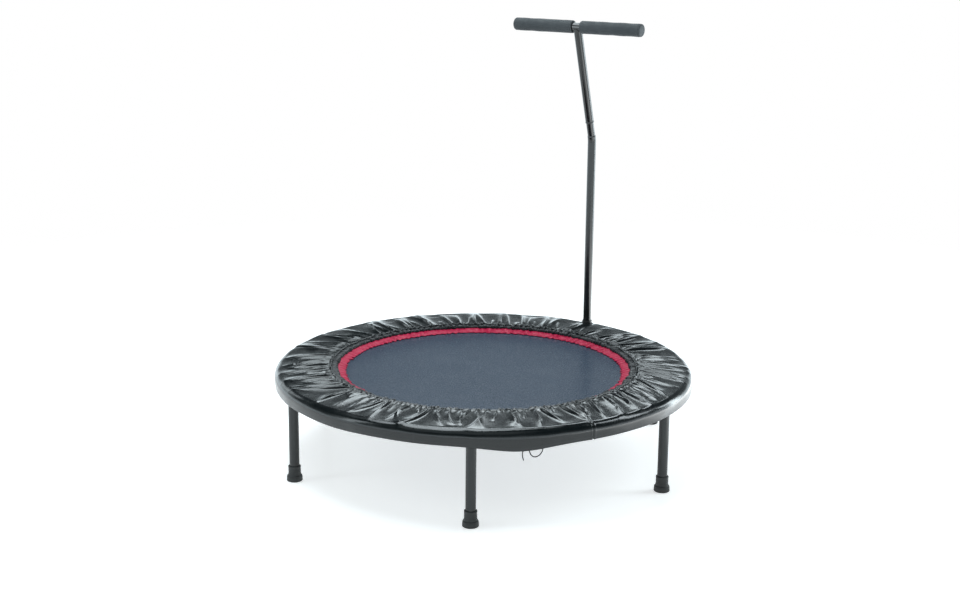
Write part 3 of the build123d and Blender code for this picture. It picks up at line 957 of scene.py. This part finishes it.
# ---- mat and springs ----
@dataclass
class Mat:
    """The woven mat, its webbing border and the loops that hold the rings."""

    radius: float = 0.398
    thick: float = 0.0012
    border_inner: float = 0.372
    ring_base: float = 0.405
    tab_width: float = 0.018
    tab_inner: float = 0.376
    tab_half: float = 0.0030
    tab_thick: float = 0.0011
    columns: int = 432

    def build_cloth(self) -> bpy.types.Object:
        """A thin disc with faint pulls towards the springs."""
        inside = np.concatenate([[0.0], np.linspace(0.012, self.radius, 46)])
        outline = np.concatenate([inside, inside[::-1]])[:, None]
        side = np.concatenate([np.full(len(inside), 1.0), np.full(len(inside), -1.0)])[:, None]
        angle = ring_angles(len(outline), self.columns)
        share = outline / self.radius
        pull = 0.00022 * np.cos(SPRING_COUNT * (angle - spring_angle(0))) * share**14
        wave = 0.0005 * soft_noise(angle, share * 0.6, 51, 2, 7, 10) * share * (1 - share) * 2.2
        height = SPRING_Z + side * self.thick / 2 + (pull + wave) * (share < 0.999)
        piece = mesh_piece("mat_cloth", polar(outline + 0 * angle, angle, height), grid_quads(*angle.shape))
        tidy_mesh(piece)
        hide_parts("mat")
        return piece

    def build_border(self) -> bpy.types.Object:
        """Webbing folded over the edge, drawn up a little at each ring."""
        half, slot, start = 0.0018, 0.0007, self.border_inner + 0.013
        edge, over = self.radius + 0.0002, self.radius + 0.0012
        corners = [
            (start, half), (self.border_inner, half), (self.border_inner, slot), (edge, slot),
            (edge, -slot), (self.border_inner, -slot), (self.border_inner, -half), (over, -half),
            (over, half), (start, half),
        ]
        outline = np.array(rounded(corners, 0.0003, 3))
        angle = ring_angles(len(outline), self.columns * 2)
        rise = np.abs(np.sin(SPRING_COUNT / 2 * (angle - spring_angle(0))))
        scallop = 0.0007 * rise * (outline[:, :1] > self.radius)
        points = polar(outline[:, :1] - scallop, angle, SPRING_Z + outline[:, 1:] + 0 * angle)
        piece = mesh_piece("mat_border_webbing", points, grid_quads(*angle.shape, close_rows=True))
        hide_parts("mat_border")
        return piece

    def tab_lines(self) -> tuple[np.ndarray, np.ndarray]:
        """The outer and inner lines of a tab's section, out round the ring's bar and back."""
        half_out, thick = self.tab_half, self.tab_thick
        path = [(x, half_out) for x in np.linspace(self.tab_inner, self.ring_base, 12)]
        for t in np.linspace(0, np.pi, 13)[1:-1]:
            path.append((self.ring_base + half_out * math.sin(t), half_out * math.cos(t)))
        path += [(x, -half_out) for x in np.linspace(self.ring_base, self.tab_inner, 12)]
        outer = np.array(path)
        inner = outer.copy()
        inner[:, 1] *= (half_out - thick) / half_out
        beyond = outer[:, 0] > self.ring_base
        reach = outer[beyond, 0] - self.ring_base
        inner[beyond, 0] = self.ring_base + reach * (half_out - thick) / half_out
        return outer, inner

    def one_tab(self) -> tuple[np.ndarray, np.ndarray]:
        """The points and faces of a tab along +X, which is thinner at its two sides."""
        outer, inner = self.tab_lines()
        section = np.concatenate([outer, inner[::-1]])
        centre = (outer + inner) / 2
        middles = np.concatenate([centre, centre[::-1]])
        size = len(section)
        shares = np.array([-1.0, -0.985, -0.9, -0.5, 0.0, 0.5, 0.9, 0.985, 1.0])
        slim = (0.72, 0.93, 1.0, 1.0, 1.0, 1.0, 1.0, 0.93, 0.72)
        slices = []
        for across, thinner in zip(self.tab_width / 2 * shares, slim):
            line = middles + (section - middles) * thinner
            slices.append(np.column_stack([line[:, 0], np.full(size, across), line[:, 1]]))
        faces = [grid_quads(len(slim), size)]
        k = np.arange(len(outer) - 1)
        for base in (0, (len(slim) - 1) * size):
            faces.append(base + np.column_stack([k, k + 1, size - 2 - k, size - 1 - k]))
        return np.concatenate(slices), np.concatenate(faces)

    def build_tabs(self) -> bpy.types.Object:
        """Thirty-six loops of webbing, each round its ring's straight bar."""
        flat, faces = self.one_tab()
        points = [turned(flat, spring_angle(k)) for k in range(SPRING_COUNT)]
        quads = [faces + k * len(flat) for k in range(SPRING_COUNT)]
        piece = mesh_piece("ring_tabs_webbing", np.concatenate(points), np.concatenate(quads))
        tidy_mesh(piece)
        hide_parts("ring_tabs")
        return piece


@dataclass
class Spring:
    """A coil spring with a loop over its ring and a hook into the frame."""

    wire: float = 0.0011
    coil: float = 0.0044
    loop_at: float = 0.4285
    loop_r: float = 0.005
    coil_start: float = 0.4365
    coil_end: float = 0.4770
    tip_r: float = 0.495
    turns: int = 17

    def path(self) -> np.ndarray:
        """The wire's middle line, along +X, with its height from the spring's level."""
        loop = [
            (self.loop_at + self.loop_r * math.cos(t), 0.0, self.loop_r * math.sin(t))
            for t in np.linspace(math.radians(395), math.radians(75), 26)
        ]
        bridge = [(0.4345, 0.0006, 0.0040), (0.4357, 0.0012, 0.0042)]
        coil = []
        for t in np.linspace(0, 1, self.turns * 12):
            angle = math.radians(80) + 2 * math.pi * self.turns * t
            along = self.coil_start + (self.coil_end - self.coil_start) * t
            coil.append((along, self.coil * math.cos(angle), self.coil * math.sin(angle)))
        tail = [(0.4786, 0.0012, 0.0022), (0.4800, 0.0003, 0.0004)]
        tail += [(x, 0.0, 0.0) for x in np.linspace(0.4820, self.tip_r - 0.0028, 5)]
        tail += [
            (self.tip_r - 0.0025 + 0.0025 * math.sin(t), 0.0, -0.0025 + 0.0025 * math.cos(t))
            for t in np.linspace(0, math.pi / 2, 6)[1:]
        ]
        tail += [(self.tip_r, 0.0, -0.0045), (self.tip_r, 0.0, -0.007)]
        return np.array(loop + bridge + coil + tail)

    def build(self) -> list[bpy.types.Object]:
        """All the springs, each running between the frame and the mat."""
        points, quads = sweep_points(self.path(), self.wire, 7)
        made = []
        for k in range(SPRING_COUNT):
            turn = spring_angle(k)
            piece = mesh_piece(f"spring_coil_{k + 1:02d}", turned(points, turn), quads)
            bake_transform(piece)
            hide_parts("springs")
            made.append(piece)
        return made


# ---- feet and handle ----
@dataclass
class Foot:
    """A rubber foot with ribs round its collar and rings under its base."""

    base_r: float = 0.019
    base_h: float = 0.014
    height: float = 0.038
    bore: float = 0.01205
    floor: float = 0.006
    phase: float = 1.4

    def outline(self) -> list[tuple[float, float]]:
        """The foot's section, from under the base round to the bottom of its bore."""
        under = [
            (0.0, 0.0012), (0.004, 0.0012), (0.0046, 0.0), (0.0075, 0.0),
            (0.0081, 0.0012), (0.0105, 0.0012), (0.0111, 0.0),
        ]
        base = [
            (self.base_r - 0.0016, 0.0), (self.base_r, 0.0016),
            (self.base_r - 0.0004, self.base_h - 0.004), (self.base_r - 0.0012, self.base_h),
        ]
        neck = [(self.base_r - 0.0034, self.base_h + 0.0004), (0.0152, self.base_h + 0.004)]
        ribs = []
        for k in range(3):
            z = 0.0205 + 0.0042 * k
            ribs += [(0.0149, z), (0.0143, z + 0.0008), (0.0143, z + 0.0016), (0.0148, z + 0.0024)]
        collar = [
            (0.0142, self.height - 0.0052), (0.0150, self.height - 0.0042), (0.0150, self.height - 0.001),
            (0.0141, self.height), (self.bore + 0.0004, self.height),
        ]
        bore = [(self.bore, self.height - 0.0008), (self.bore, self.floor), (0.0, self.floor)]
        return rounded(under + base + neck + ribs + collar + bore, 0.0007, 3)

    def build(self) -> list[bpy.types.Object]:
        """Six feet, one under each leg."""
        made = []
        outline = self.outline()
        for k in range(6):
            turn = math.radians(self.phase + 60 * k)
            piece = lathe(f"foot_moulded_{k + 1}", outline, 72)
            piece.location = (FRAME_R * math.cos(turn), FRAME_R * math.sin(turn), 0.0)
            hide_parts(f"foot_{k + 1}")
            made.append(piece)
        return made


@dataclass
class Handle:
    """The soft and small details of the T-bar."""

    bar_z: float = 1.033
    bar_r: float = 0.0112
    grip_r: float = 0.0165
    gap: float = 0.024
    length: float = 0.379
    bar_length: float = 0.371
    stem_r: float = 0.0111
    stem_start: float = 0.049
    button_along: float = 0.074

    def bar_middle(self) -> Vector:
        """The middle of the crossbar."""
        return BEND + LEAN_DIR * ((self.bar_z - BEND.z) / math.cos(LEAN))

    def grip_outline(self, side: int) -> list[tuple[float, float]]:
        """A grip's section as (radius, distance from the crossbar's middle).

        Args:
            side: -1 for the left one and 1 for the right one.

        Returns:
            The points, from the inner end along the outside, over the outer end and back along the bore.
        """
        inner, outer, bore_end = self.gap / 2, self.length / 2, self.bar_length / 2
        bore_r, end_r = self.bar_r + 0.0001, 0.0045
        pick = np.random.default_rng(70 + side)
        waves = [(pick.uniform(30, 160), pick.uniform(0, 6.28)) for _ in range(6)]
        outline = [
            (self.bar_r + 0.0002, inner), (self.grip_r - 0.0022, inner),
            (self.grip_r - 0.0006, inner + 0.0009), (self.grip_r, inner + 0.003),
        ]
        for x in np.linspace(inner + 0.006, outer - 0.008, 46):
            outline.append((self.grip_r + 0.00008 * sum(math.sin(w * x + p) for w, p in waves), x))
        for t in np.linspace(0, math.pi / 2, 7)[1:]:
            outline.append((self.grip_r - end_r + end_r * math.cos(t), outer - end_r + end_r * math.sin(t)))
        outline += [(0.006, outer + 0.0002), (0.0, outer + 0.0003), (0.0, bore_end + 0.0001)]
        return outline + [(bore_r, bore_end + 0.0001), (bore_r, inner + 0.001), (self.bar_r + 0.0002, inner)]

    def build_grip(self, side: int) -> bpy.types.Object:
        """One foam grip in place; side is -1 for the left one and 1 for the right one."""
        word = "left" if side < 0 else "right"
        piece = lathe(f"grip_foam_{word}", self.grip_outline(side), 96, wobble=0.00006)
        turn = Matrix.Rotation(math.radians(90 * side), 4, "Y")
        piece.matrix_world = Matrix.Translation(self.bar_middle()) @ turn
        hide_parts("grip_left" if side < 0 else "grip_right")
        return piece

    def build_stem_lip(self) -> bpy.types.Object:
        """The rolled lower end of the stem."""
        corners = [
            (0.01015, -0.0002), (0.0112, -0.0002), (0.0119, 0.0009), (0.0117, 0.0022),
            (0.01112, 0.0046), (0.01015, 0.0046), (0.01015, -0.0002),
        ]
        piece = lathe("stem_lip", rounded(corners, 0.0005), 64)
        turn = LEAN_DIR.to_track_quat("Z", "Y").to_matrix().to_4x4()
        piece.matrix_world = Matrix.Translation(BEND + LEAN_DIR * self.stem_start) @ turn
        return piece

    def build_weld(self) -> bpy.types.Object:
        """The weld bead between the stem and the crossbar."""
        place = self.bar_middle()
        path = []
        for t in np.linspace(0, 2 * math.pi, 90):
            x, back = self.stem_r * math.cos(t), self.stem_r * math.sin(t)
            drop = math.sqrt(max(self.bar_r**2 - back**2, 0.0))
            path.append(place + Vector((1, 0, 0)) * x + BACK_DIR * back - LEAN_DIR * (drop + 0.0003))
        points, quads = sweep_points(np.array(path), 0.0014, 10)
        pick = np.random.default_rng(9)
        points = points + pick.normal(0, 0.00008, points.shape)
        return mesh_piece("bar_weld", points, quads)

    def build_clip(self) -> bpy.types.Object:
        """The spring clip in the neck, which is pressed in as the stem slides over it."""
        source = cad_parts["button_clip"]
        piece = scene_object("button_clip_spring", source.data.copy())
        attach(piece, Body.FRAME.value)
        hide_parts("button_clip")
        return piece


# ---- stage ----
@dataclass
class Studio:
    """The camera, the lights, the room and the floor."""

    right: Vector = field(default_factory=lambda: Vector((0.8230, 0.5680, 0.0094)))
    forward: Vector = field(default_factory=lambda: Vector((-0.54929, 0.79987, -0.24187)))
    place: Vector = field(default_factory=lambda: Vector((2.0668, -3.0287, 1.3039)))
    lens: float = 57.50

    def build_camera(self) -> None:
        """A level camera a little above the handle's height, looking down at the mat."""
        forward = self.forward.normalized()
        up = Vector((-0.14493, 0.19387, 0.97026))
        right = forward.cross(up).normalized()
        up = right.cross(forward)
        camera = bpy.data.cameras.new("camera")
        camera.lens, camera.sensor_width = self.lens, 36.0
        camera.clip_start, camera.clip_end = 0.05, 60.0
        holder = scene_object("camera", camera)
        holder.matrix_world = Matrix((
            (right.x, up.x, -forward.x, self.place.x),
            (right.y, up.y, -forward.y, self.place.y),
            (right.z, up.z, -forward.z, self.place.z),
            (0, 0, 0, 1),
        ))
        bpy.context.scene.camera = holder

    def softbox(
        self, name: str, offset: tuple[float, float, float], size: tuple[float, float], power: float
    ) -> None:
        """A rectangular light that faces a point above the mat.

        Args:
            name: The light's name.
            offset: How far to the right, back and up it stands, in metres.
            size: Its width and height.
            power: Its power, in watts.
        """
        light = bpy.data.lights.new(name, "AREA")
        light.shape, light.size, light.size_y, light.energy = "RECTANGLE", size[0], size[1], power
        light.color = (0.86, 0.96, 1.0)
        back = Vector((self.forward.x, self.forward.y, 0)).normalized()
        side = Vector((back.y, -back.x, 0))
        place = side * offset[0] + back * offset[1] + Vector((0, 0, offset[2]))
        holder = scene_object(name, light)
        holder.location = place
        holder.rotation_euler = (Vector((0, 0, 0.25)) - place).to_track_quat("-Z", "Y").to_euler()

    def build_lights(self) -> None:
        """Softboxes behind, on both sides, overhead and high in front."""
        self.softbox("box_back", (0.35, 2.5, 2.3), (2.0, 0.8), 32.0)
        self.softbox("box_back_left", (-2.3, 1.9, 1.2), (0.8, 1.0), 5.0)
        self.softbox("box_right", (2.3, 0.1, 2.1), (0.7, 1.3), 26.0)
        self.softbox("box_right_low", (2.3, 0.9, 0.6), (0.5, 1.2), 20.0)
        self.softbox("box_top", (-0.5, 0.35, 2.8), (2.2, 1.7), 78.0)
        self.softbox("box_front_high", (-0.6, -2.2, 3.1), (4.0, 2.2), 14.0)
        self.softbox("box_left_front", (-2.4, -0.9, 1.2), (0.4, 1.4), 9.0)

    def build_room(self) -> None:
        """A room that the camera sees white, with light from a bright horizon and a dim height."""
        world = bpy.data.worlds.new("room")
        g = emptied_graph(world)
        up = g.add("SeparateXYZ", {0: g.add("TexCoord").outputs["Generated"]}).outputs[2]
        horizon = g.ramp(up, 0.08, 0.21, 2.1, 0.22)
        above = g.ramp(up, 0.30, 0.60, 1.0, 0.25)
        seen = g.add("LightPath").outputs["Is Camera Ray"]
        light = g.math("MULTIPLY", g.math("SUBTRACT", 1.0, seen), g.math("MULTIPLY", horizon, above))
        colour = g.mix(seen, (0.84, 0.95, 1.0, 1.0), (1.0, 1.0, 1.0, 1.0))
        background = g.add("Background", {"Color": colour, "Strength": g.math("ADD", seen, light)})
        g.add("OutputWorld", {"Surface": background.outputs[0]})
        bpy.context.scene.world = world
        bpy.context.scene.view_settings.view_transform = "Standard"

    def build_floor(self) -> None:
        """A pale floor that glows, much brighter towards the right as a painted bright patch, and fades into
        the white room.
        """
        steps, rows = 96, 24
        radius = np.linspace(0.0, 3.4, rows)[:, None]
        angle = ring_angles(rows, steps)
        disc = polar(radius + 0 * angle, angle, -0.0002 + 0 * angle)
        floor = mesh_piece("floor", disc, grid_quads(rows, steps))
        tidy_mesh(floor)
        for face in floor.data.polygons:
            face.use_smooth = False
        material = bpy.data.materials.new("floor_white")
        g = emptied_graph(material)
        where = g.add("TexCoord").outputs["Object"]
        sides = {0: where, 1: tuple(self.right)}
        across = g.add("VectorMath", sides, operation="DOT_PRODUCT").outputs["Value"]
        # Painted light: the floor glows, evenly at 0.62 and rising to 4.5 towards the right, where the glow
        # is a painted bright patch that the cover's side reflects.
        painted_glow = g.ramp(across, 0.65, 1.3, 0.62, 4.5)
        distance = g.add("VectorMath", {0: where}, operation="LENGTH").outputs["Value"]
        shader = g.add("BsdfPrincipled", {
            "Base Color": (0.8, 0.8, 0.8, 1.0),
            "Roughness": 0.2,
            "Specular IOR Level": 0.25,
            "Emission Color": (0.98, 1.0, 1.0, 1.0),
            "Emission Strength": painted_glow,
            "Alpha": g.ramp(distance, 1.3, 3.2, 1.0, 0.0),
        })
        g.add("OutputMaterial", {"Surface": shader.outputs[0]})
        floor.data.materials.append(material)


# ---- assembly ----
CAD_SLOTS = {
    Slot.FRAME_PAINT: [
        "frame_half_rear", "frame_half_front", "frame_sleeves", "leg_sockets", "handle_saddle",
    ],
    Slot.LEG_PAINT: [f"leg_{k}" for k in range(1, 7)],
    Slot.HANDLE_PAINT: ["lower_post", "stem", "crossbar"],
    Slot.ZINC: ["leg_studs", "v_rings", "handle_bolt", "handle_washer", "post_insert"],
}


def dress_hard_parts(finishes: Finishes) -> None:
    """Paint or plate for the CAD nodes that are shown."""
    for slot, nodes in CAD_SLOTS.items():
        for node in nodes:
            finishes.dress(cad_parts[node], slot)
        LOG.info("%s: %s", slot.value, ", ".join(nodes))


def ride_all(pieces: list[bpy.types.Object], body: Body, finishes: Finishes, slot: Slot) -> None:
    """Finishes pieces and puts them on a body."""
    for piece in pieces:
        finishes.dress(piece, slot)
        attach(piece, body.value)
        LOG.info("%s rides on %s", piece.name, body.value)


def build_pad(finishes: Finishes) -> None:
    """The cover, the casing, the trim, the foam and the tie."""
    cover, casing, trim, foam = PadCover().build(), Casing().build(), EdgeTrim().build(), FoamPad().build()
    cord_maker = HemCord()
    cord = cord_maker.build()
    dressed = {Slot.VINYL: cover, Slot.CASING: casing, Slot.TRIM: trim, Slot.FOAM: foam, Slot.CORD: cord}
    for slot, piece in dressed.items():
        ride_all([piece], Body.FRAME, finishes, slot)


def build_mat(finishes: Finishes) -> None:
    """The mat, its webbing, its loops and the springs."""
    maker = Mat()
    cloth, border, tabs = maker.build_cloth(), maker.build_border(), maker.build_tabs()
    ride_all([cloth], Body.MAT, finishes, Slot.MAT)
    ride_all([border, tabs], Body.MAT, finishes, Slot.WEBBING)
    springs = Spring().build()
    for spring in springs:
        finishes.dress(spring, Slot.ZINC)
    LOG.info("%d coil springs bend between frame and mat", len(springs))


def build_feet_and_handle(finishes: Finishes) -> None:
    """The feet, the grips and the handle's small parts."""
    ride_all(Foot().build(), Body.FRAME, finishes, Slot.RUBBER)
    handle = Handle()
    grips = [handle.build_grip(-1), handle.build_grip(1)]
    ride_all(grips, Body.T_BAR, finishes, Slot.GRIP)
    ride_all([handle.build_stem_lip(), handle.build_weld()], Body.T_BAR, finishes, Slot.HANDLE_PAINT)
    clip = finishes.dress(handle.build_clip(), Slot.ZINC)
    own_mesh(clip)
    LOG.info("%s flattens with t_bar_height", clip.name)


def main() -> None:
    """Builds the whole scene."""
    logging.basicConfig(level=logging.INFO, format="%(name)s: %(message)s")
    studio = Studio()
    studio.build_camera()
    finishes = Finishes()
    build_pad(finishes)
    build_mat(finishes)
    build_feet_and_handle(finishes)
    dress_hard_parts(finishes)
    studio.build_lights()
    studio.build_room()
    studio.build_floor()


if __name__ == "__main__":
    main()
